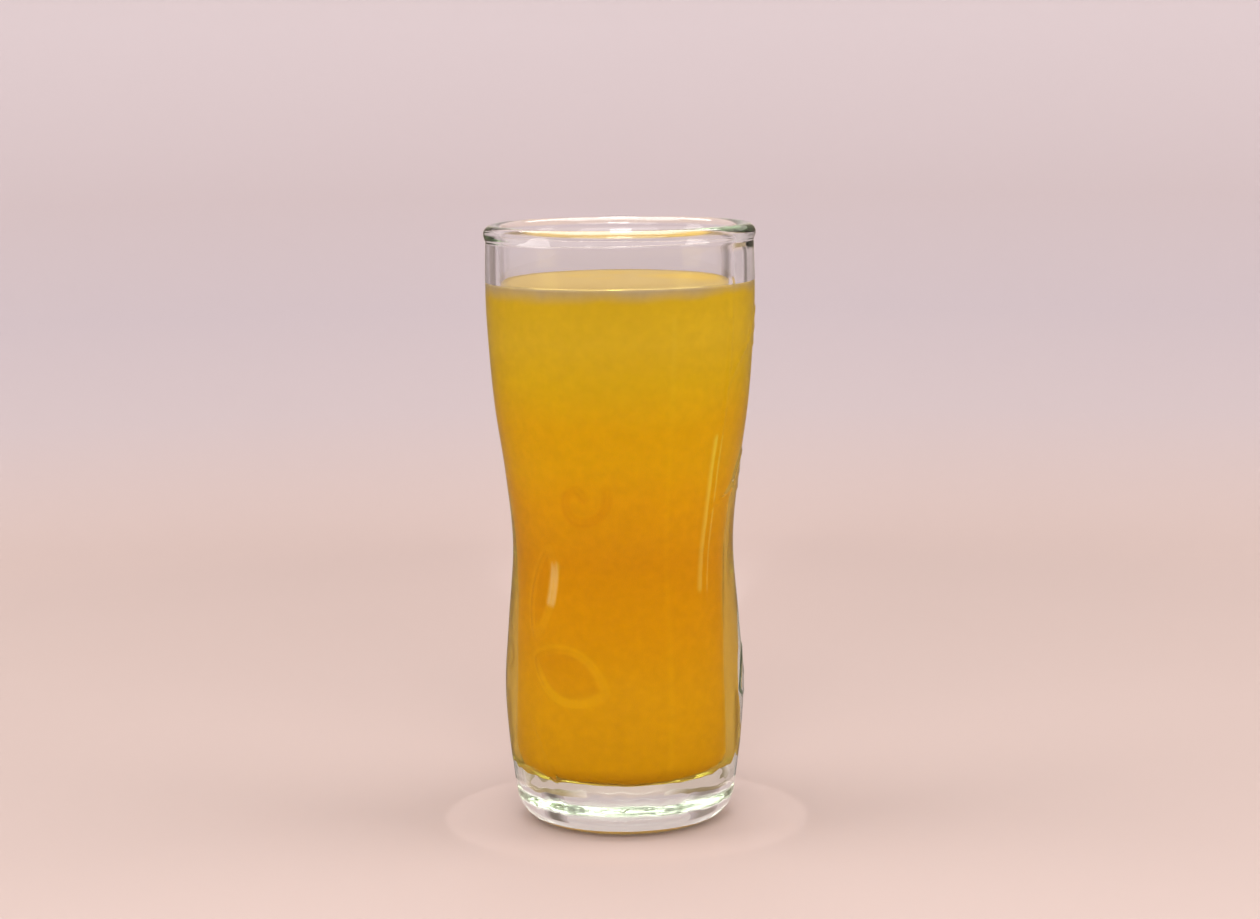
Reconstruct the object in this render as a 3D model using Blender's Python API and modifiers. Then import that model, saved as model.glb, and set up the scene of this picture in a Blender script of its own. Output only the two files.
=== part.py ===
"""A glass of mango lassi: a waisted tumbler of clear pressed glass, filled almost to the rim.

Two pieces: the tumbler, a turned wall with raised leaf sprigs fused on its outside, and the
drink, a solid up to its level. The origin is the centre of the base, +Z is up, -Y is the front.
"""

import math

import bmesh
import bpy
from mathutils import Vector

# --- Driving dimensions, in metres -------------------------------------------------------

HEIGHT = 0.147

# The outer wall's radius at its stations, from the heel up: (height, radius).
WALL = (
    (0.0083, 0.0271),
    (0.0200, 0.0286),
    (0.0340, 0.0294),
    (0.0500, 0.0284),
    (0.0690, 0.0271),
    (0.0860, 0.0286),
    (0.1040, 0.0311),
    (0.1220, 0.0325),
    (0.1310, 0.0328),
    (0.1430, 0.0326),
)
WALL_ROWS = 24

# The rounded lip runs straight on from the inside and stands a little proud of the outside.
LIP_HALF_WIDTH = 0.00225
LIP_OUTER_RADIUS = 0.0331
LIP_POINTS = 8

# The foot: a rounded heel, a flat ring to stand on and a shallow hollow inside it.
FOOT_RADIUS = 0.0183
HEEL_POINTS = 5
PUNT_RADIUS = 0.0140
PUNT_DEPTH = 0.0012
PUNT_POINTS = 3

# The cavity that the plunger leaves: straight over the thick base, flared above the waist.
CAVITY = (
    (0.0175, 0.0188),
    (0.0400, 0.0188),
    (0.0680, 0.0188),
    (0.0840, 0.0204),
    (0.1010, 0.0238),
    (0.1180, 0.0271),
    (0.1300, 0.0284),
    (0.1430, 0.0286),
)
CAVITY_ROWS = 15
FLOOR_DISH = 0.0004              # how far the floor sinks to its middle
FLOOR_CORNER_RADIUS = 0.0050
FLOOR_CORNER_POINTS = 4
CAVITY_OFFSET = -0.0006          # the plunger came down a little to one side
OFFSET_FADE = 0.0120             # depth below the lip where that side step is complete

DRINK_LEVEL = 0.1330
FIT_GAP = 0.0003                 # between the drink and the glass

TURN_STEPS = 64
TINY = 0.00001                   # merges the points that meet on the axis
INSIDE_MARGIN = 0.0008           # past the cavity's radius, yet short of the outer wall

# The sprigs: raised strokes, half sunk in the wall. A leaf or stroke is given as
# (bearing in degrees from the sprig's own middle, height in metres).
STROKE_RADIUS = 0.00060
STROKE_SINK = 0.00030
STROKE_SPACING = 0.0030
STEM_SPACING = 0.0045
VEIN_SHARE = 0.62                # how far up its leaf a vein runs

# Each leaf: root, tip, width.
LOW_SPRIG_LEAVES = (
    ((-18.5, 0.0440), (20.0, 0.0365), 0.0120),
    ((-20.0, 0.0490), (-12.0, 0.0710), 0.0065),
)
LOW_SPRIG_STEM = (
    (-9.0, 0.0150), (-13.0, 0.0200), (-17.0, 0.0248), (-22.0, 0.0295),
)
LOW_SPRIG_CURL = (
    (21.0, 0.0865), (21.5, 0.0830), (18.0, 0.0798), (11.5, 0.0781), (4.0, 0.0785),
    (0.0, 0.0812), (1.0, 0.0842), (6.0, 0.0860), (10.0, 0.0840),
)
LOW_SPRIG_BEARINGS = (-28.0, -148.0)

TALL_SPRIG_STEM = (
    (-43.5, 0.0560), (-40.8, 0.0670), (-38.5, 0.0770), (-37.4, 0.0860),
    (-36.2, 0.0980), (-34.6, 0.1120), (-34.0, 0.1240), (-34.0, 0.1340),
)
TALL_SPRIG_STALKS = (
    ((-37.8, 0.0800), (-28.0, 0.0815), (-18.0, 0.0840)),
    ((-34.8, 0.1090), (-26.0, 0.1150), (-16.0, 0.1190)),
    ((18.0, 0.0405), (26.0, 0.0470), (30.0, 0.0560), (30.0, 0.0660)),
)
TALL_SPRIG_LEAVES = (
    ((18.0, 0.0405), (-14.0, 0.0335), 0.0110),
    ((-18.0, 0.0840), (16.0, 0.0900), 0.0085),
    ((-16.0, 0.1190), (16.0, 0.1255), 0.0080),
)
TALL_SPRIG_BEARINGS = (88.0,)

# --- Curves and profiles -----------------------------------------------------------------


def smooth_value(stations, at):
    """The value at a place on the smooth curve through stations, a list of (place, value)."""
    places = [place for place, value in stations]
    values = [value for place, value in stations]
    last = len(stations) - 1
    at = min(max(at, places[0]), places[last])
    i = max(k for k in range(last) if places[k] <= at or k == 0)

    def slope(k):
        low, high = max(k - 1, 0), min(k + 1, last)
        return (values[high] - values[low]) / (places[high] - places[low])

    span = places[i + 1] - places[i]
    t = (at - places[i]) / span
    rise = values[i + 1] - values[i]
    return (
        values[i]
        + t * t * (3 - 2 * t) * rise
        + t * (1 - t) ** 2 * span * slope(i)
        - t * t * (1 - t) * span * slope(i + 1)
    )


def smooth_path(points, spacing):
    """Points at an even spacing on the smooth curve through a few (x, y) points."""
    lengths = [0.0]
    for (x0, y0), (x1, y1) in zip(points, points[1:]):
        lengths.append(lengths[-1] + math.hypot(x1 - x0, y1 - y0))
    across = [(length, x) for length, (x, y) in zip(lengths, points)]
    along = [(length, y) for length, (x, y) in zip(lengths, points)]
    count = max(2, round(lengths[-1] / spacing))
    places = [lengths[-1] * k / count for k in range(count + 1)]
    return [(smooth_value(across, s), smooth_value(along, s)) for s in places]


def arc(centre, radii, start, stop, count):
    """Points on an ellipse's arc, from one angle to another in degrees, both ends included."""
    (x, z), (rx, rz) = centre, radii
    angles = [math.radians(start + (stop - start) * k / count) for k in range(count + 1)]
    return [(x + rx * math.cos(a), z + rz * math.sin(a)) for a in angles]


def levels(low, high, rows):
    """Heights from high down to low, evenly spaced, both ends included."""
    return [high + (low - high) * k / rows for k in range(rows + 1)]


def wall_radius(z):
    return smooth_value(WALL, z)


def cavity_radius(z):
    return smooth_value(CAVITY, z)


def lip_profile():
    """Over the lip, from the inside to the outside."""
    centre = (LIP_OUTER_RADIUS - LIP_HALF_WIDTH, HEIGHT - LIP_HALF_WIDTH)
    radii = (LIP_HALF_WIDTH, LIP_HALF_WIDTH)
    return arc(centre, radii, 200, -20, LIP_POINTS)


def foot_profile():
    """From the end of the wall round the heel, in over the standing ring and up the hollow."""
    top, radius = WALL[0]
    heel = arc((FOOT_RADIUS, top), (radius - FOOT_RADIUS, top), 0, -90, HEEL_POINTS)
    hollow = arc((0.0, 0.0), (PUNT_RADIUS, PUNT_DEPTH), 0, 90, PUNT_POINTS)
    return heel[1:] + hollow[:-1] + [(0.0, PUNT_DEPTH)]


def cavity_floor(clearance):
    """The floor's middle, then its rounded corner up to where the cavity's side begins."""
    side, radius = CAVITY[0]
    centre = (radius - FLOOR_CORNER_RADIUS, side)
    reach = FLOOR_CORNER_RADIUS - clearance
    corner = arc(centre, (reach, reach), -90, 0, FLOOR_CORNER_POINTS)
    return [(0.0, corner[0][1] - FLOOR_DISH)] + corner[:-1]


def glass_profile():
    """From the cavity's floor up the inside, over the lip and down the outside to the foot."""
    inside = [(cavity_radius(z), z) for z in levels(CAVITY[0][0], CAVITY[-1][0], CAVITY_ROWS)]
    outside = [(wall_radius(z), z) for z in levels(WALL[0][0], WALL[-1][0], WALL_ROWS)]
    return cavity_floor(0.0) + inside[::-1] + lip_profile() + outside + foot_profile()


def drink_profile():
    """From the middle of the surface out to the wall, down it and in over the floor."""
    side = [(cavity_radius(z) - FIT_GAP, z) for z in levels(CAVITY[0][0], DRINK_LEVEL, CAVITY_ROWS)]
    return [(0.0, DRINK_LEVEL)] + side + cavity_floor(FIT_GAP)[::-1]


# --- Objects -----------------------------------------------------------------------------


def clear_scene():
    for obj in list(bpy.data.objects):
        bpy.data.objects.remove(obj, do_unlink=True)


def collection(name):
    made = bpy.data.collections.new(name)
    bpy.context.scene.collection.children.link(made)
    return made


def material(name, colour, roughness, transmission, ior):
    made = bpy.data.materials.new(name)
    made.use_nodes = True
    shader = made.node_tree.nodes["Principled BSDF"]
    shader.inputs["Base Color"].default_value = (*colour, 1.0)
    shader.inputs["Metallic"].default_value = 0.0
    shader.inputs["Roughness"].default_value = roughness
    shader.inputs["Transmission Weight"].default_value = transmission
    shader.inputs["IOR"].default_value = ior
    return made


def evaluated_mesh(obj, name):
    """A plain mesh of the object with its modifiers or its bevel in it."""
    depsgraph = bpy.context.evaluated_depsgraph_get()
    mesh = bpy.data.meshes.new_from_object(obj.evaluated_get(depsgraph), depsgraph=depsgraph)
    mesh.name = name
    return mesh


def turned(name, profile, home):
    """A solid of revolution about Z, its profile starting and ending on the axis."""
    mesh = bpy.data.meshes.new(name)
    edges = [(k, k + 1) for k in range(len(profile) - 1)]
    mesh.from_pydata([(r, 0.0, z) for r, z in profile], edges, [])
    obj = bpy.data.objects.new(name, mesh)
    home.objects.link(obj)
    screw = obj.modifiers.new("Turn", "SCREW")
    screw.axis = "Z"
    screw.steps = TURN_STEPS
    screw.render_steps = TURN_STEPS
    screw.use_merge_vertices = True
    screw.merge_threshold = TINY
    screw.use_smooth_shade = True
    return obj


def apply_modifiers(obj):
    mesh = evaluated_mesh(obj, obj.name)
    obj.modifiers.clear()
    obj.data = mesh


def step_cavity_sideways(obj):
    """Moves the inside of the turned glass to one side, fading out at the lip's crest."""
    floor = cavity_floor(0.0)[0][1]
    for vertex in obj.data.vertices:
        x, y, z = vertex.co
        inside = math.hypot(x, y) < cavity_radius(z) + INSIDE_MARGIN
        if inside and z > floor - TINY:
            vertex.co.x += CAVITY_OFFSET * min(1.0, (HEIGHT - z) / OFFSET_FADE)


def on_wall(bearing, z, sink):
    """A point on the outer wall, a little under its surface. Bearing 0 is the front."""
    angle = math.radians(bearing)
    radius = wall_radius(z) - sink
    return Vector((radius * math.sin(angle), -radius * math.cos(angle), z))


def stroke(name, path, middle, closed, home):
    """A raised line along a path of (bearing, height), as a mesh tube half sunk in the wall."""
    spline_data = bpy.data.curves.new(name, "CURVE")
    spline_data.dimensions = "3D"
    spline_data.bevel_depth = STROKE_RADIUS
    spline_data.bevel_resolution = 1
    spline_data.use_fill_caps = True
    spline = spline_data.splines.new("POLY")
    spline.points.add(len(path) - 1)
    spline.use_cyclic_u = closed
    for point, (bearing, z) in zip(spline.points, path):
        point.co = (*on_wall(middle + bearing, z, STROKE_SINK), 1.0)
    tube = bpy.data.objects.new(name, spline_data)
    home.objects.link(tube)
    mesh = evaluated_mesh(tube, name)
    bpy.data.objects.remove(tube, do_unlink=True)
    welded = bmesh.new()
    welded.from_mesh(mesh)
    bmesh.ops.remove_doubles(welded, verts=welded.verts, dist=TINY)
    bmesh.ops.recalc_face_normals(welded, faces=welded.faces)
    welded.to_mesh(mesh)
    welded.free()
    made = bpy.data.objects.new(name, mesh)
    home.objects.link(made)
    return made


def bearing_path(points, spacing):
    """smooth_path on the wall: bearings count as lengths along the wall's mean radius."""
    per_degree = math.radians(1.0) * wall_radius(points[0][1])
    flat = [(bearing * per_degree, z) for bearing, z in points]
    return [(along / per_degree, z) for along, z in smooth_path(flat, spacing)]


def leaf_outline(root, tip, width):
    """A pointed oval from root to tip, as a closed path of (bearing, height)."""
    per_degree = math.radians(1.0) * wall_radius((root[1] + tip[1]) / 2)
    start = Vector((root[0] * per_degree, root[1]))
    axis = Vector((tip[0] * per_degree, tip[1])) - start
    side = Vector((-axis.y, axis.x)).normalized() * width / 2
    count = max(5, round(axis.length / STROKE_SPACING))
    there = [k / count for k in range(count)]
    back = [1 - t for t in there]
    flat = [start + axis * t + side * math.sin(math.pi * t) ** 0.8 for t in there]
    flat += [start + axis * t - side * math.sin(math.pi * t) ** 0.8 for t in back]
    return [(point.x / per_degree, point.y) for point in flat]


def leaf(name, middle, root, tip, width, home):
    """A leaf in outline with a vein part of the way up it."""
    vein_end = tuple(a + (b - a) * VEIN_SHARE for a, b in zip(root, tip))
    stroke(f"{name}_edge", leaf_outline(root, tip, width), middle, True, home)
    stroke(f"{name}_vein", bearing_path([root, vein_end], STROKE_SPACING), middle, False, home)


def low_sprig(name, middle, home):
    """A broad leaf and a slim upright one over a short stem, with a curled tendril above."""
    for number, (root, tip, width) in enumerate(LOW_SPRIG_LEAVES):
        leaf(f"{name}_leaf{number}", middle, root, tip, width, home)
    stroke(f"{name}_stem", bearing_path(LOW_SPRIG_STEM, STROKE_SPACING), middle, False, home)
    stroke(f"{name}_curl", bearing_path(LOW_SPRIG_CURL, STROKE_SPACING), middle, False, home)


def tall_sprig(name, middle, home):
    """A long stem that follows the waist, with three leaves beside it on stalks."""
    stroke(f"{name}_stem", bearing_path(TALL_SPRIG_STEM, STEM_SPACING), middle, False, home)
    for number, stalk in enumerate(TALL_SPRIG_STALKS):
        stroke(f"{name}_stalk{number}", bearing_path(stalk, STROKE_SPACING), middle, False, home)
    for number, (root, tip, width) in enumerate(TALL_SPRIG_LEAVES):
        leaf(f"{name}_leaf{number}", middle, root, tip, width, home)


def fuse(obj, strokes):
    """Joins every raised line to the glass, then removes the separate lines."""
    union = obj.modifiers.new("Sprigs", "BOOLEAN")
    union.operation = "UNION"
    union.solver = "EXACT"
    union.operand_type = "COLLECTION"
    union.collection = strokes
    apply_modifiers(obj)
    for piece in list(strokes.objects):
        bpy.data.objects.remove(piece, do_unlink=True)
    bpy.data.collections.remove(strokes)


def make_glass(home):
    glass = turned("glass", glass_profile(), home)
    apply_modifiers(glass)
    step_cavity_sideways(glass)
    strokes = collection("sprig strokes")
    for number, middle in enumerate(LOW_SPRIG_BEARINGS):
        low_sprig(f"low{number}", middle, strokes)
    for number, middle in enumerate(TALL_SPRIG_BEARINGS):
        tall_sprig(f"tall{number}", middle, strokes)
    fuse(glass, strokes)
    glass.data.shade_smooth()
    glass.data.set_sharp_from_angle(angle=math.radians(35))
    glass.data.materials.clear()
    glass.data.materials.append(material("clear glass", (0.93, 0.96, 0.93), 0.02, 1.0, 1.52))
    return glass


def make_drink(home):
    drink = turned("drink", drink_profile(), home)
    drink.location.x = CAVITY_OFFSET
    drink.data.materials.append(material("mango lassi", (0.68, 0.28, 0.01), 0.35, 0.0, 1.35))
    return drink


clear_scene()
lassi = collection("glass of mango lassi")
make_glass(lassi)
make_drink(lassi)
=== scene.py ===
# %% [markdown]
# # A glass of mango lassi
# This file dresses a glass of mango lassi: a waisted tumbler of clear pressed glass with raised
# leaf sprigs, filled almost to the rim with a thick golden drink. The measured solids come in
# first as a fixed frame. The tumbler and the drink are then modelled again as fine meshes, each
# exactly where its solid stands, and given their finishes. Each step says what the real thing
# is and why it is made this way.

# %% Load the frame
import math

import bpy
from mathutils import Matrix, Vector


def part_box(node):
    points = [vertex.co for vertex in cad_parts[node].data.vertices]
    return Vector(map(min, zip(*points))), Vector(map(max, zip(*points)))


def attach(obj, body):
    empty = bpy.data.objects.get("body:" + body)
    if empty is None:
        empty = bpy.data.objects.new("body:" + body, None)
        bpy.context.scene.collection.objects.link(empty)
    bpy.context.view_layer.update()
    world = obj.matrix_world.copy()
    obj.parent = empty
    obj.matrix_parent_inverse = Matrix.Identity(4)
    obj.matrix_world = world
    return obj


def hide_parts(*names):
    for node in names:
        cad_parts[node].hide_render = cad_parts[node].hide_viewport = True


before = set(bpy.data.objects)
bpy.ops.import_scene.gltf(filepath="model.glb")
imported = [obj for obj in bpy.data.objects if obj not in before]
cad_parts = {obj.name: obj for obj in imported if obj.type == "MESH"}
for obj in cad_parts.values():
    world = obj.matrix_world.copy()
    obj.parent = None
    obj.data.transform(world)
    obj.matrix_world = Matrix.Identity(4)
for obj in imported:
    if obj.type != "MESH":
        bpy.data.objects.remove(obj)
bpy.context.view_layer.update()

glass_low, glass_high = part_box("glass")
drink_low, drink_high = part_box("drink")
print("glass", [round(v * 1000, 1) for v in glass_high - glass_low], "mm")
print("drink", [round(v * 1000, 1) for v in drink_high - drink_low], "mm")

# %% [markdown]
# ## The size of the tumbler
# A pressed tumbler gets its outside from a split mould, so it may have a waist, and its inside
# from a plunger, which has to come straight out again. The cavity is therefore straight over
# the heavy base and widens only above the waist, and the wall is thickest where the outside
# bulges and the inside doesn't. All sizes are in metres, as stations of height and radius.

# %% Stations of the outside and the cavity
height = glass_high.z

wall_stations = (
    (0.0083, 0.0271), (0.0200, 0.0286), (0.0340, 0.0294), (0.0500, 0.0284), (0.0690, 0.0271),
    (0.0860, 0.0286), (0.1040, 0.0311), (0.1220, 0.0325), (0.1310, 0.0328), (0.1430, 0.0326),
)
cavity_stations = (
    (0.0175, 0.0188), (0.0400, 0.0188), (0.0680, 0.0188), (0.0840, 0.0204),
    (0.1010, 0.0238), (0.1180, 0.0271), (0.1300, 0.0284), (0.1430, 0.0286),
)

lip_half_width = 0.00225
lip_outer_radius = 0.0331
foot_radius = 0.0183
punt_radius, punt_depth = 0.0140, 0.0012
floor_corner, floor_dish = 0.0050, 0.0004
cavity_side_step, side_step_depth = -0.0006, 0.004
drink_level = drink_high.z

# Numbers of rows of the fine mesh, on the two long walls and round the bends.
cavity_rows, wall_rows = 44, 214
lip_steps, corner_steps, heel_steps, punt_steps = 16, 10, 14, 6


def smooth_value(stations, at):
    """The value at a place on the smooth curve through stations of (place, value)."""
    last = len(stations) - 1
    at = min(max(at, stations[0][0]), stations[last][0])
    i = max(k for k in range(last) if stations[k][0] <= at or k == 0)

    def slope(k):
        (p0, v0), (p1, v1) = stations[max(k - 1, 0)], stations[min(k + 1, last)]
        return (v1 - v0) / (p1 - p0)

    (p0, v0), (p1, v1) = stations[i], stations[i + 1]
    span = p1 - p0
    t = (at - p0) / span
    ends = t * (1 - t) ** 2 * slope(i) - t * t * (1 - t) * slope(i + 1)
    return v0 + t * t * (3 - 2 * t) * (v1 - v0) + span * ends


def wall_radius(z):
    return smooth_value(wall_stations, z)


def cavity_radius(z):
    return smooth_value(cavity_stations, z)


print("waist", round(min(wall_radius(z / 1000) for z in range(60, 80)) * 2000, 1), "mm across")

# %% [markdown]
# ## Half sections
# Both pieces are turned, so each is a half section spun round the axis. A section could be drawn
# by hand as a curve, but computed from the stations it follows the measured sizes exactly. Its
# points lie close together on the wall, where the raised sprigs need a fine mesh, and further
# apart where the surface is plain.

# %% Draw the half sections


def arc(centre, radii, start, stop, count):
    """Points on an ellipse's arc between two angles in degrees, both ends included."""
    (x, z), (rx, rz) = centre, radii
    angles = [math.radians(start + (stop - start) * k / count) for k in range(count + 1)]
    return [(x + rx * math.cos(a), z + rz * math.sin(a)) for a in angles]


def falling(high, low, rows):
    """Evenly spaced heights from high to low, both ends included."""
    return [high + (low - high) * k / rows for k in range(rows + 1)]


def floor_section(overlap):
    """From the middle of the cavity's floor to the top of its rounded corner."""
    side, radius = cavity_stations[0]
    reach = floor_corner + overlap
    corner = arc((radius - floor_corner, side), (reach, reach), -90, 0, corner_steps)
    edge, level = corner[0]
    middle = [(edge * k / 4, level - floor_dish * (1 - (k / 4) ** 2)) for k in range(4)]
    return middle + corner


def glass_section():
    """The cavity from its floor up, over the lip, down the outside and in under the foot."""
    cavity_top, wall_top = cavity_stations[-1][0], wall_stations[-1][0]
    heights = falling(cavity_top, cavity_stations[0][0], cavity_rows)
    inside = [(cavity_radius(z), z) for z in heights]
    lip_centre = (lip_outer_radius - lip_half_width, height - lip_half_width)
    lip = arc(lip_centre, (lip_half_width, lip_half_width), 200, -20, lip_steps)
    outside = [(wall_radius(z), z) for z in falling(wall_top, wall_stations[0][0], wall_rows)]
    heel_top, heel_radius = wall_stations[0]
    heel_radii = (heel_radius - foot_radius, heel_top)
    heel = arc((foot_radius, heel_top), heel_radii, 0, -90, heel_steps)
    punt = arc((0.0, 0.0), (punt_radius, punt_depth), 0, 90, punt_steps)
    foot = heel[1:] + punt[:-1] + [(0.0, punt_depth)]
    return floor_section(0.0)[:-1] + inside[::-1] + lip + outside + foot


section = glass_section()
print("glass section:", len(section), "points")

# %% Meshes that only guide the trees


def guide(name, points, edges, faces=()):
    """A mesh that a node tree reads, never shown itself."""
    mesh = bpy.data.meshes.new(name)
    mesh.from_pydata(points, edges, list(faces))
    return bpy.data.objects.new(name, mesh)


def chain(start, count):
    """The edges that join a row of points."""
    return [(k, k + 1) for k in range(start, start + count - 1)]


def section_guide(name, points):
    return guide(name, [(r, 0.0, z) for r, z in points], chain(0, len(points)))


glass_guide = section_guide("glass half section", section)
print(glass_guide.name, "has", len(glass_guide.data.edges), "edges")

# %% [markdown]
# ## The raised sprigs
# The mould is engraved, so the tumbler comes out with fine raised lines: low sprigs with a
# broad leaf, a slim one and a curled tendril, and a tall one that climbs along the waist. Tubes
# laid on the wall would show a dark joint where glass meets glass, so the lines are drawn as
# guides first, and the wall's own mesh is then lifted along them. A line is a list of places
# on the wall, given as bearing from the front and height.

# %% Places on the wall
degree = math.radians(1.0)
leaf_steps, leaf_fullness = 18, 0.8


def on_wall(bearing, z):
    """The point of the outer wall at a bearing in degrees, 0 at the front."""
    radius = wall_radius(z)
    return (radius * math.sin(bearing * degree), -radius * math.cos(bearing * degree), z)


def smooth_path(points, spacing):
    """Evenly spaced (bearing, height) points on the smooth curve through a few of them."""
    scale = degree * wall_radius(points[0][1])
    flat = [(bearing * scale, z) for bearing, z in points]
    at = [0.0]
    for (x0, y0), (x1, y1) in zip(flat, flat[1:]):
        at.append(at[-1] + math.hypot(x1 - x0, y1 - y0))
    across = [(s, x) for s, (x, y) in zip(at, flat)]
    along = [(s, y) for s, (x, y) in zip(at, flat)]
    count = max(3, round(at[-1] / spacing))
    steps = [at[-1] * k / count for k in range(count + 1)]
    return [(smooth_value(across, s) / scale, smooth_value(along, s)) for s in steps]


def leaf_sides(root, tip, width):
    """The two edges of a pointed leaf, each from root to tip, and its middle line."""
    scale = degree * wall_radius((root[1] + tip[1]) / 2)
    start = Vector((root[0] * scale, root[1]))
    axis = Vector((tip[0] * scale, tip[1])) - start
    side = Vector((-axis.y, axis.x)).normalized() * width / 2
    lines = []
    for sign in (1, -1, 0):
        flat = []
        for k in range(leaf_steps + 1):
            swell = math.sin(math.pi * k / leaf_steps) ** leaf_fullness
            flat.append(start + axis * (k / leaf_steps) + side * sign * swell)
        lines.append([(p.x / scale, p.y) for p in flat])
    return lines


print("a degree of the waist is", round(degree * wall_radius(0.069) * 1000, 2), "mm wide")

# %% The low sprig
# A leaf is its root, its tip and its width. A stem or a curl is a few places along it.
low_sprig = {
    "bearings": (-28.0, -148.0),
    "leaves": (
        ((-18.5, 0.0440), (20.0, 0.0365), 0.0120),
        ((-20.0, 0.0490), (-12.0, 0.0710), 0.0065),
    ),
    "stems": (
        ((-9.0, 0.0150), (-13.0, 0.0200), (-17.0, 0.0248), (-22.0, 0.0295)),
        ((21.0, 0.0865), (21.5, 0.0830), (18.0, 0.0798), (11.5, 0.0781), (4.0, 0.0785),
         (0.0, 0.0812), (1.0, 0.0842), (6.0, 0.0860), (10.0, 0.0840)),
    ),
}
print("the low sprig stands in", len(low_sprig["bearings"]), "places round the wall")

# %% The tall sprig
tall_sprig = {
    "bearings": (88.0,),
    "leaves": (
        ((18.0, 0.0405), (-14.0, 0.0335), 0.0110),
        ((-18.0, 0.0840), (16.0, 0.0900), 0.0085),
        ((-16.0, 0.1190), (16.0, 0.1255), 0.0080),
    ),
    "stems": (
        ((-43.5, 0.0560), (-40.8, 0.0670), (-38.5, 0.0770), (-37.4, 0.0860),
         (-36.2, 0.0980), (-34.6, 0.1120), (-34.0, 0.1240), (-34.0, 0.1340)),
        ((-37.8, 0.0800), (-28.0, 0.0815), (-18.0, 0.0840)),
        ((-34.8, 0.1090), (-26.0, 0.1150), (-16.0, 0.1190)),
        ((18.0, 0.0405), (26.0, 0.0470), (30.0, 0.0560), (30.0, 0.0660)),
    ),
}
print("the tall sprig has", len(tall_sprig["stems"]), "stems and stalks")

# %% From sprigs to guides
line_spacing = 0.0007
vein_share = 2 / 3
raised_share, shaded_share = 0.8, 0.75


def sprig_lines(sprig):
    """Every raised line of a sprig at each of its bearings, as (bearing, height) lists."""
    lines = []
    for middle in sprig["bearings"]:
        own = [smooth_path(stem, line_spacing) for stem in sprig["stems"]]
        for root, tip, width in sprig["leaves"]:
            left, right, vein = leaf_sides(root, tip, width)
            own += [left, right, vein[:int(len(vein) * vein_share)]]
        lines += [[(middle + bearing, z) for bearing, z in line] for line in own]
    return lines


def lines_guide(name, lines):
    points, edges = [], []
    for line in lines:
        edges += chain(len(points), len(line))
        points += [on_wall(bearing, z) for bearing, z in line]
    return guide(name, points, edges)


def blade_faces(start, rows):
    """The faces of a leaf whose rows are left edge, vein and right edge."""
    corners = [start + 3 * k + side for k in range(rows - 1) for side in (0, 1)]
    return [(a, a + 1, a + 4, a + 3) for a in corners]


def leaves_guide(name, sprigs):
    """The leaves' faces on the wall, a little narrower than their edges."""
    points, faces = [], []
    for sprig in sprigs:
        for middle in sprig["bearings"]:
            for root, tip, width in sprig["leaves"]:
                left, right, vein = leaf_sides(root, tip, width * raised_share)
                faces += blade_faces(len(points), len(vein))
                for row in zip(left, vein, right):
                    points += [on_wall(middle + bearing, z) for bearing, z in row]
    return guide(name, points, [], faces)


# %% The guides of the raised lines and leaves
raised_lines = sprig_lines(low_sprig) + sprig_lines(tall_sprig)
line_guide = lines_guide("sprig lines", raised_lines)
leaf_guide = leaves_guide("sprig leaves", (low_sprig, tall_sprig))
print(len(raised_lines), "raised lines,", len(leaf_guide.data.polygons), "leaf faces")

# %% [markdown]
# ## Light behind the sprigs
# A raised line is a small lens. Light from the front passes through it and falls as a soft
# brighter line on the drink behind, a little lower down. A renderer finds such light only with a
# very large number of samples. Its places follow from how glass bends light, so they are worked
# out here, and this light and shade are painted into the drink's colour there: painted light
# behind the leaves' edges and the seam, painted highlights along the tall stem and a streak by the
# slim leaf, and painted shade behind the leaves and the curl.

# %% Where the light falls behind a raised line
glass_ior, drink_ior = 1.52, 1.35
light_drop = 0.0012
sight_limit = 0.97


def behind(bearing, z):
    """The place on the cavity's wall that light from the front reaches through a place."""
    outer, inner = wall_radius(z), cavity_radius(z - light_drop)
    off_axis = outer * math.sin(bearing * degree)
    if abs(off_axis) > sight_limit * glass_ior * inner or abs(bearing) > 90:
        return None
    turn = math.asin(off_axis / outer) - math.asin(off_axis / outer / glass_ior)
    angle = turn + math.asin(off_axis / inner / glass_ior)
    return (inner * math.sin(angle) + cavity_side_step, -inner * math.cos(angle), z - light_drop)


print("light at 20 degrees falls at", [round(v * 1000, 1) for v in behind(20.0, 0.07)], "mm")

# %% Guides of the places behind the wall


def behind_guide(name, lines):
    """The lines as they fall behind the wall, without the places that nothing shows through."""
    points, edges = [], []
    for line in lines:
        last = None
        for bearing, z in line:
            place = behind(bearing, z) if z - light_drop < drink_level else None
            if place is None:
                last = None
                continue
            points.append(place)
            if last is not None:
                edges.append((last, len(points) - 1))
            last = len(points) - 1
    return guide(name, points, edges)


def behind_leaves(name, sprig, middle):
    """The leaves as they fall behind the wall, those in full sight only."""
    points, faces = [], []
    for root, tip, width in sprig["leaves"]:
        left, right, vein = leaf_sides(root, tip, width * shaded_share)
        rows = zip(left, vein, right)
        places = [behind(middle + bearing, z) for row in rows for bearing, z in row]
        if None not in places:
            faces += blade_faces(len(points), len(vein))
            points += places
    return guide(name, points, [], faces)


# %% The places of light and shade
front_sprig = low_sprig["bearings"][0]
# Painted highlights: the tall stem's raised line and a streak along the slim leaf are painted as
# bright lines on the drink behind them.
tall_stem = {**tall_sprig, "leaves": (), "stems": tall_sprig["stems"][:1]}
stem_low, stem_high, stem_turn = 0.060, 0.098, -1.2
stem_light = [(bearing + stem_turn, z) for bearing, z in sprig_lines(tall_stem)[0]
              if stem_low < z < stem_high]
streak = smooth_path(((-38.0, 0.0575), (-37.0, 0.0615), (-35.0, 0.0668)), line_spacing)
highlight_guide = behind_guide("bright lines behind the sprigs", [stem_light, streak])
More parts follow.
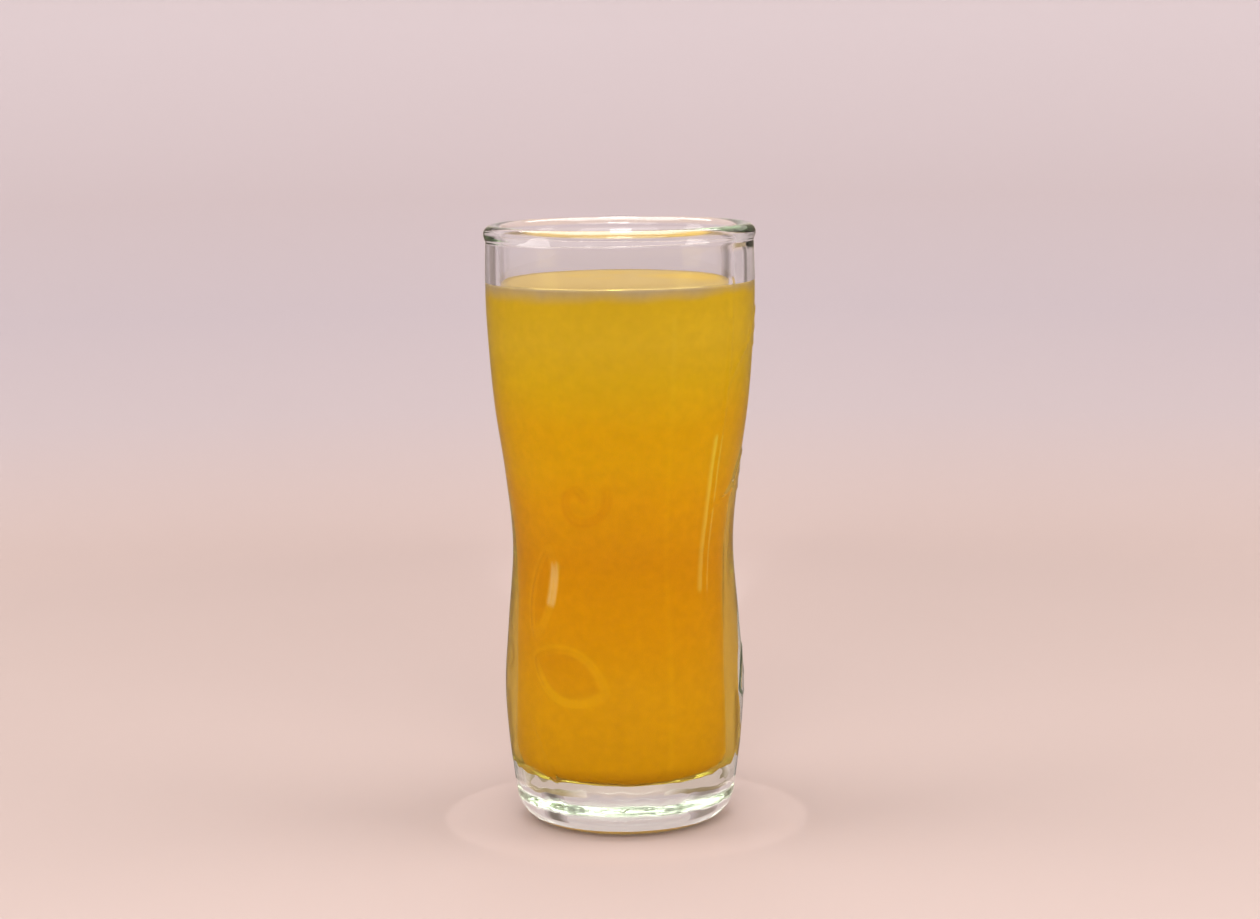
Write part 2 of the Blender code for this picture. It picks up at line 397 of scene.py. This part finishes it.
# Only the leaves' edges gather light: they have a point more than there are steps.
low_leaves = sprig_lines({**low_sprig, "stems": ()})
leaf_lines = [line for line in low_leaves if len(line) == leaf_steps + 1]
light_guide = behind_guide("light behind the leaves", leaf_lines)
# Painted shade: the leaves and the curl darken the drink's colour behind them.
shade_guide = behind_leaves("shade behind the leaves", low_sprig, front_sprig)
curl = smooth_path(low_sprig["stems"][1], line_spacing)
curl = [(front_sprig + bearing, z) for bearing, z in curl]
curl_guide = behind_guide("shade behind the curl", [curl])
# The mould's seam, where its parts meet, is a line straight up the wall. The wall has no seam of
# its own here; only the light it gathers is painted on the drink, as a faint brighter line.
seam_bearing, seam_foot, seam_spacing, seam_points = 24.0, 0.016, 0.0008, 140
seam_line = [(seam_bearing, seam_foot + seam_spacing * k) for k in range(seam_points)]
seam_guide = behind_guide("light behind the seam", [seam_line])
print(len(light_guide.data.vertices), "lit places behind the sprigs")

# %% [markdown]
# ## A tree that turns a half section
# A turned piece follows one rule, so a Geometry Nodes tree makes it: a grid has one row for
# each point of the section and one column for each step round the axis, and every grid point
# is sent to its place. The seam and the poles are then merged, so the piece is closed. A Screw
# modifier could turn the section too, but a tree can also move the cavity a little to one side
# and lift the sprigs. The same tree turns the glass and the drink.

# %% Small helpers for building trees


def new_tree(name, inputs):
    """An empty geometry tree with named inputs and one geometry output."""
    tree = bpy.data.node_groups.new(name, "GeometryNodeTree")
    for label, kind in inputs:
        tree.interface.new_socket(label, in_out="INPUT", socket_type="NodeSocket" + kind)
    tree.interface.new_socket("Geometry", in_out="OUTPUT", socket_type="NodeSocketGeometry")
    return tree


def node(tree, kind, inputs=(), **settings):
    """Adds a node, sets it, and gives its inputs links or plain values."""
    made = tree.nodes.new(kind)
    for key, value in settings.items():
        setattr(made, key, value)
    for key, value in dict(inputs).items():
        if isinstance(value, bpy.types.NodeSocket):
            tree.links.new(value, made.inputs[key])
        else:
            made.inputs[key].default_value = value
    return made


def maths(tree, operation, *terms, clamp=False):
    """A Math node whose terms are sockets or plain numbers."""
    inputs = dict(enumerate(terms))
    made = node(tree, "ShaderNodeMath", inputs, operation=operation, use_clamp=clamp)
    return made.outputs[0]


def split(tree, vector):
    """The X, Y and Z of a vector."""
    return node(tree, "ShaderNodeSeparateXYZ", {"Vector": vector}).outputs


def soft_step(tree, value, start, stop, top=1.0, kind="SMOOTHERSTEP"):
    """Rises smoothly from 0 at start to top at stop."""
    inputs = {"Value": value, "From Min": start, "From Max": stop, "To Min": 0.0, "To Max": top}
    made = node(tree, "ShaderNodeMapRange", inputs, interpolation_type=kind)
    return made.outputs["Result"]


# %% Helpers for the shapes that a tree is given


def shape_of(tree, given_object):
    """The mesh of an object that is given to the tree."""
    made = node(tree, "GeometryNodeObjectInfo", {"Object": given_object})
    return made.outputs["Geometry"]


def nearness(tree, given_object, kind):
    """The distance to the nearest edge or face of an object, and whether it has one."""
    shape = shape_of(tree, given_object)
    return node(tree, "GeometryNodeProximity", {0: shape}, target_element=kind).outputs


def scaled(tree, vector, by):
    made = node(tree, "ShaderNodeVectorMath", {0: vector, "Scale": by}, operation="SCALE")
    return made.outputs[0]


def shifted(tree, mesh, offset):
    made = node(tree, "GeometryNodeSetPosition", {"Geometry": mesh, "Offset": offset})
    return made.outputs[0]


# %% Turn the section into a closed surface
pole_weld = 0.000002


def turned(tree, given, position):
    """The half section spun round the axis, with its cavity a little to one side."""
    shape = shape_of(tree, given["Section"])
    size = node(tree, "GeometryNodeAttributeDomainSize", {"Geometry": shape})
    rows = size.outputs["Point Count"]
    columns = maths(tree, "ADD", given["Columns"], 1)
    cells = {"Vertices X": columns, "Vertices Y": rows, "Size X": 1.0, "Size Y": 1.0}
    grid = node(tree, "GeometryNodeMeshGrid", cells).outputs["Mesh"]
    # The grid reaches from -0.5 to 0.5 both ways: Y tells the row and X the turn.
    place = split(tree, position)
    last_row = maths(tree, "SUBTRACT", rows, 1)
    up = maths(tree, "MULTIPLY", maths(tree, "ADD", place["Y"], 0.5), last_row)
    row = maths(tree, "ROUND", up)
    turn = maths(tree, "MULTIPLY", maths(tree, "ADD", place["X"], 0.5), 2 * math.pi)
    taken = {"Geometry": shape, "Value": position, "Index": row}
    sampled = node(tree, "GeometryNodeSampleIndex", taken,
                   data_type="FLOAT_VECTOR", domain="POINT")
    point = split(tree, sampled.outputs["Value"])
    radius, level = point["X"], point["Z"]
    # Rows of the cavity step to one side, less and less towards the lip's crest.
    depth = maths(tree, "SUBTRACT", given["Top"], level)
    share = maths(tree, "DIVIDE", depth, given["Side step depth"], clamp=True)
    inner = maths(tree, "LESS_THAN", row, given["Inner rows"])
    step = maths(tree, "MULTIPLY", maths(tree, "MULTIPLY", share, inner), given["Side step"])
    x = maths(tree, "ADD", maths(tree, "MULTIPLY", radius, maths(tree, "SINE", turn)), step)
    y = maths(tree, "MULTIPLY", maths(tree, "MULTIPLY", radius, maths(tree, "COSINE", turn)), -1.0)
    to = node(tree, "ShaderNodeCombineXYZ", {"X": x, "Y": y, "Z": level}).outputs[0]
    moved = node(tree, "GeometryNodeSetPosition", {"Geometry": grid, "Position": to}).outputs[0]
    weld = {"Geometry": moved, "Distance": pole_weld}
    return node(tree, "GeometryNodeMergeByDistance", weld).outputs[0]


# %% [markdown]
# The heavy base cools last and never quite true, so it is a little uneven, except where it
# stands and higher up the wall. Sculpting could do this by hand, but a noise of a fixed size
# gives the same lumps each time.

# %% Make the base uneven
lump_scale, lump_detail = 190.0, 1.5
even_foot, uneven_from = 0.0012, 0.0045
uneven_to, even_wall = 0.013, 0.026


def uneven(tree, given, position, mesh):
    """The mesh with soft lumps in its base."""
    lumps = node(tree, "ShaderNodeTexNoise",
                 {"Vector": position, "Scale": lump_scale, "Detail": lump_detail})
    centred = node(tree, "ShaderNodeVectorMath", {0: lumps.outputs["Color"], 1: (0.5, 0.5, 0.5)},
                   operation="SUBTRACT").outputs[0]
    level = split(tree, position)["Z"]
    above = soft_step(tree, level, even_foot, uneven_from, kind="SMOOTHSTEP")
    below = soft_step(tree, level, even_wall, uneven_to, kind="SMOOTHSTEP")
    both = maths(tree, "MULTIPLY", above, below)
    amount = maths(tree, "MULTIPLY", both, given["Unevenness"])
    return shifted(tree, mesh, scaled(tree, centred, amount))


print("the base is uneven up to", round(even_wall * 1000), "mm")

# %% [markdown]
# The wall is lifted outwards along the sprigs' lines, and a little over the whole of each leaf.
# How near each point is to the light and shade gathered behind them is stored with the mesh, for
# the light and shade painted into the drink's colour.

# %% Lift the sprigs and mark the light


def lifted(tree, given, position, mesh):
    """The mesh moved outwards along the lines and over the leaves."""
    to_line = nearness(tree, given["Lines"], "EDGES")["Distance"]
    on_line = soft_step(tree, to_line, given["Line half width"], 0.0, given["Line height"])
    to_leaf = nearness(tree, given["Leaves"], "FACES")["Distance"]
    on_leaf = soft_step(tree, to_leaf, given["Leaf edge"], 0.0, given["Leaf height"])
    lift = maths(tree, "MAXIMUM", on_line, on_leaf)
    here = split(tree, position)
    flat = node(tree, "ShaderNodeCombineXYZ", {"X": here["X"], "Y": here["Y"]}).outputs[0]
    outward = node(tree, "ShaderNodeVectorMath", {0: flat}, operation="NORMALIZE").outputs[0]
    return shifted(tree, mesh, scaled(tree, outward, lift))


# The marks are painted light and shade on the drink.
# Each mark has the guide that it comes from, what is near to it, and a share of the light width.
marks = (
    ("Light lines", "EDGES", 1.0), ("Bright lines", "EDGES", 1.0), ("Seam lines", "EDGES", 0.7),
    ("Dark lines", "EDGES", 1.0), ("Shade", "FACES", 1.2),
)


def marked(tree, given, mesh):
    """The mesh with each mark stored on its points, 1 on the guide and 0 away from it."""
    for label, kind, width in marks:
        found = nearness(tree, given[label], kind)
        reach = maths(tree, "MULTIPLY", given["Light width"], width)
        near = soft_step(tree, found["Distance"], reach, 0.0)
        value = maths(tree, "MULTIPLY", near, found["Is Valid"])
        store = {"Geometry": mesh, "Name": label.lower().replace(" ", "_"), "Value": value}
        mesh = node(tree, "GeometryNodeStoreNamedAttribute", store,
                    data_type="FLOAT", domain="POINT").outputs[0]
    return mesh


print(len(marks), "marks for the finish of the drink")

# %% The whole tree


def turning_tree():
    tree = new_tree("turn a half section", (
        ("Section", "Object"), ("Columns", "Int"), ("Side step", "Float"),
        ("Side step depth", "Float"), ("Top", "Float"), ("Inner rows", "Int"),
        ("Unevenness", "Float"), ("Lines", "Object"), ("Line height", "Float"),
        ("Line half width", "Float"), ("Leaves", "Object"), ("Leaf height", "Float"),
        ("Leaf edge", "Float"), ("Light lines", "Object"), ("Bright lines", "Object"),
        ("Seam lines", "Object"), ("Shade", "Object"), ("Dark lines", "Object"),
        ("Light width", "Float"), ("Finish", "Material"),
    ))
    given = node(tree, "NodeGroupInput").outputs
    position = node(tree, "GeometryNodeInputPosition").outputs[0]
    mesh = turned(tree, given, position)
    mesh = uneven(tree, given, position, mesh)
    mesh = lifted(tree, given, position, mesh)
    mesh = marked(tree, given, mesh)
    outside = node(tree, "GeometryNodeFlipFaces", {"Mesh": mesh}).outputs[0]
    smooth = node(tree, "GeometryNodeSetShadeSmooth", {"Geometry": outside}).outputs[0]
    real = node(tree, "GeometryNodeRealizeInstances", {"Geometry": smooth}).outputs[0]
    finish = {"Geometry": real, "Material": given["Finish"]}
    done = node(tree, "GeometryNodeSetMaterial", finish).outputs[0]
    node(tree, "NodeGroupOutput", {"Geometry": done})
    print("a tree of", len(tree.nodes), "nodes")
    return tree


turning = turning_tree()

# %% Run a tree


def grow(name, tree, **inputs):
    """Runs a tree on an empty mesh and returns the result as a plain mesh object."""
    obj = bpy.data.objects.new(name, bpy.data.meshes.new(name))
    bpy.context.scene.collection.objects.link(obj)
    modifier = obj.modifiers.new("Tree", "NODES")
    modifier.node_group = tree
    items = tree.interface.items_tree
    sockets = {item.name: item.identifier for item in items if item.in_out == "INPUT"}
    for label, value in inputs.items():
        modifier[sockets[label.replace("_", " ")]] = value
    depsgraph = bpy.context.evaluated_depsgraph_get()
    mesh = bpy.data.meshes.new_from_object(obj.evaluated_get(depsgraph), depsgraph=depsgraph)
    obj.modifiers.clear()
    obj.data = mesh
    mesh.name = name
    triangles = sum(len(face.vertices) - 2 for face in mesh.polygons)
    print(name, len(mesh.vertices), "points,", triangles, "triangles")
    return obj


# %% [markdown]
# ## Clear glass
# Soda glass bends light by 1.52 and takes a little red and blue out of it, which shows green
# only where the light goes through a lot of it, as in the base. A coloured shader would tint
# thin and thick parts alike, so the tint is in the volume and the surface stays colourless.
# Pressed glass is never quite even, so its surface gets a very faint waviness, drawn out
# upwards as the plunger drew it.

# %% The glass finish
glass_tint, tint_density = (0.60, 0.755, 0.51, 1.0), 5.5
wave_scale, wave_stretch = 90.0, (1.0, 1.0, 0.10)


def shader_tree(name):
    """A material, with its tree and its shader."""
    made = bpy.data.materials.new(name)
    made.use_nodes = True
    return made, made.node_tree, made.node_tree.nodes["Principled BSDF"]


def set_inputs(surface, values):
    """Sets plain values on a shader's own sockets."""
    for key, value in values.items():
        surface.inputs[key].default_value = value


def final(tree, kind):
    """The input of the material's output node for its surface or its volume."""
    return tree.nodes["Material Output"].inputs[kind]


def noise(tree, place, scale, detail, roughness=0.5):
    inputs = {"Vector": place, "Scale": scale, "Detail": detail, "Roughness": roughness}
    return node(tree, "ShaderNodeTexNoise", inputs).outputs["Fac"]


def bumped(tree, surface, relief, strength, distance):
    """Gives a shader a faint relief without moving the mesh."""
    inputs = {"Height": relief, "Strength": strength, "Distance": distance}
    made = node(tree, "ShaderNodeBump", inputs)
    tree.links.new(made.outputs["Normal"], surface.inputs["Normal"])


def clear_glass():
    made, tree, surface = shader_tree("clear pressed glass")
    set_inputs(surface, {
        "Base Color": (1.0, 1.0, 1.0, 1.0), "Transmission Weight": 1.0, "IOR": glass_ior})
    place = node(tree, "ShaderNodeTexCoord").outputs["Object"]
    upright = node(tree, "ShaderNodeMapping", {"Vector": place, "Scale": wave_stretch}).outputs[0]
    waves = noise(tree, upright, wave_scale, detail=2.0, roughness=0.4)
    bumped(tree, surface, waves, strength=0.05, distance=0.002)
    haze = node(tree, "ShaderNodeMapRange", {"Value": waves, "To Min": 0.0, "To Max": 0.02})
    tree.links.new(haze.outputs["Result"], surface.inputs["Roughness"])
    tint = {"Color": glass_tint, "Density": tint_density}
    depth = node(tree, "ShaderNodeVolumeAbsorption", tint)
    tree.links.new(depth.outputs["Volume"], final(tree, "Volume"))
    return made


glass_finish = clear_glass()
print(glass_finish.name, "bends light by", glass_ior)

# %% [markdown]
# ## Mango lassi
# The drink is mango pulp beaten with yoghurt: opaque, golden orange, paler and yellower just
# under the surface where the froth has risen. Its colours lie in soft layers, so one scale of
# colours runs up its height, wandering a little, with fine flecks of pulp. Where it touches
# the glass it has no surface of its own to shine, except that a wall seen at a very flat
# angle turns into a mirror. Light scattered inside the drink could be simulated, but it is so
# dense that a plain colour looks the same and renders faster.

# %% The drink finish


def ramp(tree, source, stops):
    """Colours along a scale from 0 to 1, as stops of (place, colour)."""
    made = node(tree, "ShaderNodeValToRGB", {"Fac": source})
    elements = made.color_ramp.elements
    elements.remove(elements[1])
    elements[0].position = stops[0][0]
    elements[0].color = (*stops[0][1], 1.0)
    for at, colour in stops[1:]:
        elements.new(at).color = (*colour, 1.0)
    return made.outputs["Color"]


lassi_colours = (
    (0.00, (0.76, 0.350, 0.001)), (0.14, (0.785, 0.362, 0.001)), (0.25, (0.828, 0.378, 0.001)),
    (0.36, (0.830, 0.350, 0.001)), (0.50, (0.850, 0.338, 0.001)), (0.61, (0.940, 0.412, 0.001)),
    (0.68, (0.960, 0.472, 0.001)), (0.75, (0.930, 0.470, 0.001)), (0.83, (0.880, 0.522, 0.008)),
    (0.90, (0.845, 0.525, 0.020)), (0.975, (0.735, 0.458, 0.015)), (1.00, (0.51, 0.380, 0.200)),
)
drift_scale, side_drift, top_drift = 35.0, 0.010, 0.003
pulp_scale, dark_fleck, bright_fleck = 420.0, 0.96, 1.03

# Painted light and shade: how each mark multiplies the drink's colour, brighter for gathered light
# and highlights, darker for shade.
light_tones = (
    ("light_lines", (1.08, 1.16, 3.0)), ("bright_lines", (1.09, 1.48, 45.0)),
    ("seam_lines", (1.02, 1.04, 1.2)), ("dark_lines", (0.955, 0.905, 1.0)),
    ("shade", (0.96, 0.92, 1.0)),
)
mirror_tone, mirror_share = (0.84, 0.66, 0.15, 1.0), 0.60


def multiplied(tree, colour, by, share=1.0):
    """A colour multiplied by another one, as far as share says."""
    inputs = {"Factor": share, 6: colour, 7: by}
    made = node(tree, "ShaderNodeMix", inputs, data_type="RGBA", blend_type="MULTIPLY")
    return made.outputs[2]


def flat_mirror(tree, surface):
    """Turns the drink's side into a mirror where light meets it at a very flat angle."""
    sheen = {"Color": mirror_tone, "Roughness": 0.08}
    mirror = node(tree, "ShaderNodeBsdfAnisotropic", sheen).outputs[0]
    bend = node(tree, "ShaderNodeFresnel", {"IOR": drink_ior / glass_ior}).outputs[0]
    share = maths(tree, "MULTIPLY", bend, mirror_share)
    both = node(tree, "ShaderNodeMixShader", {0: share, 1: surface.outputs[0], 2: mirror})
    tree.links.new(both.outputs[0], final(tree, "Surface"))


def lassi(name, against_glass):
    """The drink's finish, on its side where it wets the glass or on its open surface."""
    made, tree, surface = shader_tree(name)
    place = node(tree, "ShaderNodeTexCoord").outputs["Object"]
    drift = maths(tree, "SUBTRACT", noise(tree, place, drift_scale, detail=3.0), 0.5)
    wander = maths(tree, "MULTIPLY", drift, side_drift if against_glass else top_drift)
    level = maths(tree, "ADD", split(tree, place)["Z"], wander)
    body = ramp(tree, maths(tree, "DIVIDE", level, drink_level, clamp=True), lassi_colours)
    pulp = noise(tree, place, pulp_scale, detail=4.0)
    flecks = {"Value": pulp, "From Min": 0.3, "From Max": 0.7,
              "To Min": dark_fleck, "To Max": bright_fleck}
    fleck = node(tree, "ShaderNodeMapRange", flecks).outputs["Result"]
    colour = multiplied(tree, body, fleck)
    if against_glass:
        # Painted light, painted highlights and painted shade from the marks multiply the drink's
        # colour.
        for label, tone in light_tones:
            mark = node(tree, "ShaderNodeAttribute", attribute_name=label).outputs["Fac"]
            colour = multiplied(tree, colour, (*tone, 1.0), mark)
        flat_mirror(tree, surface)
    else:
        bumped(tree, surface, pulp, strength=0.08, distance=0.0004)
    tree.links.new(colour, surface.inputs["Base Color"])
    set_inputs(surface, {
        "Roughness": 0.28 if against_glass else 0.22, "IOR": drink_ior,
        "Specular IOR Level": 0.0 if against_glass else 0.5})
    return made


drink_finish = lassi("mango lassi against the glass", True)
drink_top_finish = lassi("mango lassi surface", False)
print(drink_finish.name, "has", len(drink_finish.node_tree.nodes), "nodes")

# %% [markdown]
# ## The tumbler and the drink
# Both are turned by the same tree. The mould was cut with the sprigs, so they are lifted out of
# the tumbler's own wall, in one piece with it. The drink fills the cavity and wets its wall, so
# it reaches just into the glass, and no film of air is left to shine between the two. Its flat
# surface gets the finish of the froth. Both take the place of their plain solids.

# %% Turn the glass
base_lumps = 0.0003
# The cavity's rows end halfway over the lip.
inner_rows = len(floor_section(0.0)) + cavity_rows + lip_steps // 2
glass = grow(
    "tumbler", turning, Section=glass_guide, Columns=300, Side_step=cavity_side_step,
    Side_step_depth=side_step_depth, Top=height, Inner_rows=inner_rows, Unevenness=base_lumps,
    Lines=line_guide, Line_height=0.00023, Line_half_width=0.0010, Leaves=leaf_guide,
    Leaf_height=0.00012, Leaf_edge=0.0008, Finish=glass_finish,
)

# %% Turn the drink
wet_overlap = 0.00005
side_rows, surface_rings = 180, 10


def drink_section():
    heights = falling(drink_level, cavity_stations[0][0], side_rows)
    side = [(cavity_radius(z) + wet_overlap, z) for z in heights]
    rim = side[0][0]
    top = [(rim * k / surface_rings, drink_level) for k in range(surface_rings)]
    return top + side[:-1] + floor_section(wet_overlap)[::-1]


drink_points = drink_section()
drink_guide = section_guide("drink half section", drink_points)
# All of its rows step to one side, and it has no raised lines or leaves of its own.
drink = grow(
    "lassi", turning, Section=drink_guide, Columns=360, Side_step=cavity_side_step,
    Side_step_depth=0.0001, Top=height, Inner_rows=len(drink_points), Unevenness=base_lumps,
    Line_height=0.0, Line_half_width=0.0001, Leaf_height=0.0, Leaf_edge=0.0001,
    Light_lines=light_guide, Seam_lines=seam_guide, Bright_lines=highlight_guide,
    Shade=shade_guide, Dark_lines=curl_guide, Light_width=0.0017, Finish=drink_finish,
)

# Faces that look straight up are the surface.
straight_up = 0.9
drink.data.materials.append(drink_top_finish)
for face in drink.data.polygons:
    if face.normal.z > straight_up:
        face.material_index = 1
# Mirrored inside the clear lip and base, the drink would paint both of them yellow.
drink.visible_glossy = False

# %% Hand both pieces to the frame
for piece, solid, slot in ((glass, "glass", "clear_glass"), (drink, "drink", "mango_lassi")):
    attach(piece, "root")
    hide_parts(solid)
    print(piece.name, "rides on root and replaces", solid)

# %% [markdown]
# ## Floor and backdrop
# The glass stands on pale paper that bends up into a wall, as in a small studio, so no edge shows
# behind it. The cove is round, which makes it look alike from every side. Its tone goes from warm
# on the floor to a little cooler higher up, and it is painted lighter towards the top, as if more
# light fell there.

# %% A round paper cove
cove_middle = Vector((0.0, -0.35, 0.0))


def spun(name, section, middle, start=0.0, stop=360.0, steps=96):
    """A sheet made by turning a half section about an upright line; angle 0 is the front."""
    full = stop - start >= 360.0
    columns = steps if full else steps + 1
    points, faces = [], []
    for k in range(columns):
        angle = math.radians(start + (stop - start) * k / steps)
        across, back = math.sin(angle), -math.cos(angle)
        points += [middle + Vector((r * across, r * back, z)) for r, z in section]
    rows = len(section)
    for k in range(steps):
        a, b = k * rows, (k + 1) % columns * rows
        faces += [(a + j, b + j, b + j + 1, a + j + 1) for j in range(rows - 1)]
    mesh = bpy.data.meshes.new(name)
    mesh.from_pydata(points, [], faces)
    mesh.shade_smooth()
    obj = bpy.data.objects.new(name, mesh)
    bpy.context.scene.collection.objects.link(obj)
    return obj


# The paper's tones from the floor up to paper_top, with painted light making the upper wall
# lighter.
paper_top = 0.30
paper_tones_and_light = (
    (0.0, (0.413, 0.327, 0.296)), (0.12, (0.362, 0.308, 0.311)), (0.25, (0.330, 0.284, 0.298)),
    (0.41, (0.335, 0.282, 0.287)), (0.67, (0.396, 0.345, 0.355)), (1.0, (0.430, 0.383, 0.390)),
)


def paper():
    made, tree, surface = shader_tree("pale paper")
    level = split(tree, node(tree, "ShaderNodeTexCoord").outputs["Object"])["Z"]
    tone = ramp(tree, maths(tree, "DIVIDE", level, paper_top, clamp=True), paper_tones_and_light)
    tree.links.new(tone, surface.inputs["Base Color"])
    set_inputs(surface, {"Roughness": 0.6, "Specular IOR Level": 0.2})
    return made


flat, bend, tall = 0.75, 0.30, 1.1
corner = arc((flat, bend), (bend, bend), -90, 0, 16)
cove_line = [(0.0, 0.0), (flat / 2, 0.0)] + corner + [(flat + bend, tall)]
cove = spun("paper cove", cove_line, cove_middle)
cove.data.materials.append(paper())
print("paper cove", round(2 * (flat + bend), 2), "m across")

# %% [markdown]
# ## Cards
# Clear glass shows only what it mirrors and bends, so its look is made by what stands round it,
# and a studio sets cards there. A dark card in front keeps the shine on the drink low. Brown cards
# low down behind both sides darken the edges, where the thick wall bends the view past the drink.
# Narrow upright flags do the same for the empty part under the lip. The camera sees none of them
# directly. A small pale card under the base is painted light: its paler tone stands in for the
# light that the thick base gathers onto the paper below, and keeps its hollow from going dark.

# %% Cards that the glass reflects
card_roughness = 0.9


def card_finish(name, stops):
    """A matt card whose colour goes from straight behind the glass, 0, to the front, 1."""
    made, tree, surface = shader_tree(name)
    place = split(tree, node(tree, "ShaderNodeTexCoord").outputs["Object"])
    across = maths(tree, "ABSOLUTE", place["X"])
    turn = maths(tree, "DIVIDE", maths(tree, "ARCTAN2", across, place["Y"]), math.pi)
    tree.links.new(ramp(tree, turn, stops), surface.inputs["Base Color"])
    set_inputs(surface, {"Roughness": card_roughness})
    return made


def hide_from(obj, kinds):
    """Hides a card or light from some kinds of rays, such as the camera's own."""
    for kind in kinds:
        setattr(obj, "visible_" + kind, False)


pale_tone = (0.46, 0.39, 0.36)
glass_axis = Vector((0.0, 0.0, 0.0))
front_line = [(0.045, 0.001), (0.30, 0.002), (0.42, 0.03), (0.50, 0.30)]
front_card = spun("front card", front_line, glass_axis, start=-172, stop=172, steps=86)
front_stops = ((0.045, pale_tone), (0.10, (0.08, 0.06, 0.04)), (0.30, (0.03, 0.025, 0.02)))
front_card.data.materials.append(card_finish("dark card", front_stops))
hide_from(front_card, ("camera", "diffuse", "transmission", "volume_scatter", "shadow"))
print("front card of", len(front_card.data.polygons), "faces")

# %% Cards behind the sides
side_line = [(0.17, 0.001), (0.42, 0.002), (0.43, 0.03)]
flag_line = [(0.43, 0.031), (0.43, 0.14)]
flag_tone = (0.34, 0.295, 0.31)


def brown_stops(middle, edge):
    """Stops of a card that is pale at both ends, 12 and 52 degrees off the back."""
    return ((0.067, pale_tone), (0.122, edge), (0.178, middle), (0.234, edge), (0.289, pale_tone))


def flag_stops(places, middle):
    """Stops of a flag that fades at both ends into the tone of the paper behind it."""
    return tuple(zip(places, (flag_tone, middle, middle, flag_tone)))


# Each has its line, its arc from the front as start and width in degrees, and its stops.
side_cards = (
    ("right card", side_line, 128, 40, brown_stops((0.20, 0.145, 0.065), (0.24, 0.18, 0.09))),
    ("left card", side_line, 192, 40, brown_stops((0.13, 0.085, 0.030), (0.16, 0.11, 0.045))),
    ("right flag", flag_line, 144, 14,
     flag_stops((0.128, 0.150, 0.172, 0.194), (0.09, 0.08, 0.07))),
    ("left flag", flag_line, 204, 20,
     flag_stops((0.139, 0.165, 0.215, 0.240), (0.20, 0.17, 0.16))),
)
for name, line, start, width, stops in side_cards:
    card = spun(name, line, glass_axis, start, start + width, steps=24)
    card.data.materials.append(card_finish(name, stops))
    hide_from(card, ("camera", "diffuse", "glossy", "volume_scatter", "shadow"))
print(len(side_cards), "cards behind the sides")

# %% A pale card under the base
# Painted light: the card is paler than the paper to stand in for light gathered under the glass.
base_line = [(0.0, 0.0003), (0.0135, 0.0002), (foot_radius, 0.0001)]
base_card = spun("base card", base_line, glass_axis)
painted_light_card, _, painted_light_surface = shader_tree("pale card for the light under the base")
set_inputs(painted_light_surface, {"Base Color": (0.62, 0.58, 0.55, 1.0), "Roughness": card_roughness})
base_card.data.materials.append(painted_light_card)
print("base card", round(foot_radius * 2000, 1), "mm across")

# %% [markdown]
# ## Light
# The light is broad and soft and comes from all round: softboxes overhead, in front and at both
# sides, in a dim pale room. A sky or a single lamp would be simpler, but leaves the glass
# without clear edges. Three more lights are there only for the highlights on the lip.

# %% World and lights
world = bpy.data.worlds.new("soft room")
world.use_nodes = True
bpy.context.scene.world = world
room = {"Color": (0.95, 0.90, 0.90, 1.0), "Strength": 0.6}
set_inputs(world.node_tree.nodes["Background"], room)
lamp_colour = (1.0, 0.97, 0.96)
waist_height, lip_height = 0.07, 0.14


def area_light(name, place, aim_height, size, power, aim_back=0.0):
    """A rectangle of light that faces a height on the axis, size and place in metres."""
    aim = Vector((0.0, aim_back, aim_height))
    data = bpy.data.lights.new(name, "AREA")
    data.shape = "RECTANGLE"
    data.size, data.size_y = size
    data.energy = power
    data.color = lamp_colour
    obj = bpy.data.objects.new(name, data)
    obj.location = place
    obj.rotation_euler = (aim - obj.location).to_track_quat("-Z", "Y").to_euler()
    bpy.context.scene.collection.objects.link(obj)
    return obj


lights = [
    area_light("overhead softbox", (0.0, 0.05, 1.0), 0.0, (0.8, 0.6), 4.0, aim_back=0.05),
    area_light("front softbox", (0.0, -0.98, 0.80), waist_height, (1.7, 0.7), 9.5),
    area_light("key lamp", (0.0, -0.95, 0.85), waist_height, (0.4, 0.4), 4.45),
]
for name, side in (("left softbox", -1), ("right softbox", 1)):
    place = (side * 0.78, -0.05, 0.58)
    lights.append(area_light(name, place, waist_height, (0.75, 1.05), 8.2))
    hide_from(lights[-1], ("camera", "glossy"))
for name, place, size, power in (
        ("rim panel", (0.0, 0.50, 0.85), (1.0, 0.35), 6.0),
        ("lip panel", (0.0, 0.05, 0.95), (0.9, 0.5), 5.0),
        ("rim lamp", (0.0, 0.45, 0.80), (0.05, 0.35), 1.2)):
    lights.append(area_light(name, place, lip_height, size, power))
    hide_from(lights[-1], ("camera", "diffuse", "transmission", "volume_scatter"))
print(len(lights), "lights and a dim room")

# %% [markdown]
# ## Camera
# A long lens from a little above the rim's height keeps the sides of the glass upright and
# shows a narrow ellipse of the drink's surface. Light bounces many times inside thick glass,
# so the limit on bounces is raised. With a low one the lip and the base would turn black.

# %% Camera
image_width = 1260
focal_pixels = 2900.0
down_tilt, roll = 7.912, -0.65
most_bounces = 24
scene = bpy.context.scene
camera_data = bpy.data.cameras.new("camera")
camera_data.sensor_width = 36.0
camera_data.lens = focal_pixels / image_width * camera_data.sensor_width
camera = bpy.data.objects.new("camera", camera_data)
camera.location = (0.00195, -0.7042, 0.187)
camera.rotation_euler = (math.radians(90 - down_tilt), 0.0, 0.0)
camera.rotation_euler.rotate_axis("Z", math.radians(roll))
scene.collection.objects.link(camera)
bpy.context.scene.camera = camera
scene.view_settings.view_transform = "Standard"
paths = scene.cycles
paths.max_bounces = paths.glossy_bounces = paths.transmission_bounces = most_bounces
print("camera lens", round(camera_data.lens, 1), "mm")
